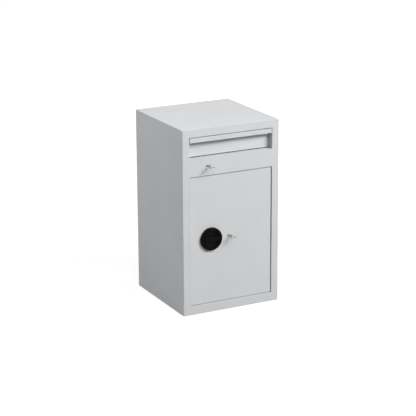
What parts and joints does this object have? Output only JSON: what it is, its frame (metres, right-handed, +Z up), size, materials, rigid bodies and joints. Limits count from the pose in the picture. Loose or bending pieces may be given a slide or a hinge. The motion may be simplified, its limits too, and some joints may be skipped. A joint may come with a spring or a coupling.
{
  "type": "deposit safe",
  "caption": "Floor-standing steel deposit safe: a pull-out drop drawer with a pull strip over a key-locked, bolt-worked door with a round rotary handle.",
  "frame": {"origin": "centre of the cabinet's footprint, on the floor", "axes": "+X to the right seen from the front, -Y towards the user, +Z up"},
  "size_m": [0.45, 0.494, 0.8],
  "materials": {
    "cabinet_paint": "smooth satin light grey powder coat",
    "door_paint": "smooth satin light grey powder coat",
    "drawer_paint": "smooth satin light grey powder coat",
    "inner_paint": "satin grey powder coat",
    "zinc_plate": "zinc plated sheet",
    "bright_steel": "turned steel",
    "nickel": "nickel plated",
    "brass": "machined",
    "black_plastic": "moulded, satin",
    "rubber_stop": "moulded",
    "nylon": "natural nylon"
  },
  "bodies": {
    "cabinet": {"outer_shell": "cabinet_paint", "back_panel": "cabinet_paint", "base_plate": "cabinet_paint", "front_frame": "cabinet_paint", "liner_left": "inner_paint", "liner_right": "inner_paint", "liner_back": "inner_paint", "liner_top": "inner_paint", "liner_floor": "inner_paint", "floor_sleeves": "zinc_plate", "wall_sleeves": "zinc_plate", "bolt_keeper": "zinc_plate", "hinge_bushes": "brass", "rail_left": "zinc_plate", "rail_right": "zinc_plate", "rail_stops": "rubber_stop", "flap_tracks": "zinc_plate", "drawer_lock_case": "zinc_plate", "drawer_lock_cover": "zinc_plate", "drawer_lock_screws": "bright_steel", "drawer_escutcheon": "nickel"},
    "drawer_lever_pack": {"drawer_levers": "brass"},
    "drawer_dead_bolt": {"drawer_lock_bolt": "nickel"},
    "drawer_lock_key": {"drawer_key": "nickel"},
    "drawer": {"drawer_front": "drawer_paint", "drawer_side_left": "inner_paint", "drawer_side_right": "inner_paint", "drawer_back": "inner_paint", "drawer_ledge": "inner_paint", "drawer_keeper": "zinc_plate", "runner_left": "zinc_plate", "runner_right": "zinc_plate", "runner_glides": "nylon", "flap_rod": "bright_steel"},
    "flap": {"drop_flap": "inner_paint", "flap_guide_pins": "bright_steel"},
    "door": {"door_plate": "door_paint", "door_pan": "door_paint", "door_cover": "inner_paint", "cover_posts": "zinc_plate", "cover_screws": "bright_steel", "hinge_blocks": "zinc_plate", "hinge_pins": "bright_steel", "bolt_bushes": "brass", "bar_guides": "bright_steel", "door_lock_case": "zinc_plate", "door_lock_cover": "zinc_plate", "door_lock_screws": "bright_steel", "door_escutcheon": "nickel", "rosette": "black_plastic", "rosette_screws": "bright_steel", "spindle_bush": "brass"},
    "boltwork": {"bolt_bar": "zinc_plate", "door_bolts": "nickel", "bolt_screws": "bright_steel"},
    "handle": {"knob": "black_plastic", "knob_crank": "bright_steel"},
    "door_lever_pack": {"door_levers": "brass"},
    "door_dead_bolt": {"door_lock_bolt": "nickel"},
    "door_lock_key": {"door_key": "nickel"}
  },
  "joints": [
    {"name": "door_swing", "type": "hinge", "parent": "cabinet", "child": "door", "pos_m": [0.167, -0.21, 0.319], "axis": [0, 0, 1], "range_deg": [0, 100]},
    {"name": "bolt_slide", "type": "slide", "parent": "door", "child": "boltwork", "axis": [-1, 0, 0], "range_m": [0, 0.01838]},
    {"name": "handle_turn", "type": "hinge", "parent": "door", "child": "handle", "pos_m": [-0.095, -0.22, 0.3225], "axis": [0, 1, 0], "range_deg": [0, 90]},
    {"name": "door_lock_throw", "type": "slide", "parent": "door", "child": "door_dead_bolt", "axis": [0, 0, -1], "range_m": [0, 0.011]},
    {"name": "door_key_turn", "type": "hinge", "parent": "door", "child": "door_lock_key", "pos_m": [-0.005, -0.22, 0.3225], "axis": [0, 1, 0], "range_deg": [0, 180]},
    {"name": "door_lever_lift", "type": "slide", "parent": "door", "child": "door_lever_pack", "axis": [0, 0, 1], "range_m": [0, 0.0015]},
    {"name": "drawer_slide", "type": "slide", "parent": "cabinet", "child": "drawer", "axis": [0, -1, 0], "range_m": [0, 0.18]},
    {"name": "flap_tilt", "type": "hinge", "parent": "drawer", "child": "flap", "pos_m": [0, -0.188, 0.702], "axis": [1, 0, 0], "range_deg": [0, 30]},
    {"name": "drawer_lock_throw", "type": "slide", "parent": "cabinet", "child": "drawer_dead_bolt", "axis": [0, 0, 1], "range_m": [0, 0.011]},
    {"name": "drawer_key_turn", "type": "hinge", "parent": "cabinet", "child": "drawer_lock_key", "pos_m": [-0.107, -0.225, 0.6375], "axis": [0, 1, 0], "range_deg": [0, 180]},
    {"name": "drawer_lever_lift", "type": "slide", "parent": "cabinet", "child": "drawer_lever_pack", "axis": [0, 0, 1], "range_m": [0, 0.0015]}
  ],
  "couplings": [
    {"joint": "handle_turn", "follows": "bolt_slide", "rad_per_m": 85.43},
    {"joint": "door_key_turn", "follows": "door_lock_throw", "rad_per_m": 285.5},
    {"joint": "door_lever_lift", "follows": "door_lock_throw", "ratio": 0.136},
    {"joint": "flap_tilt", "follows": "drawer_slide", "rad_per_m": 2.908},
    {"joint": "drawer_key_turn", "follows": "drawer_lock_throw", "rad_per_m": 285.5},
    {"joint": "drawer_lever_lift", "follows": "drawer_lock_throw", "ratio": 0.136}
  ]
}
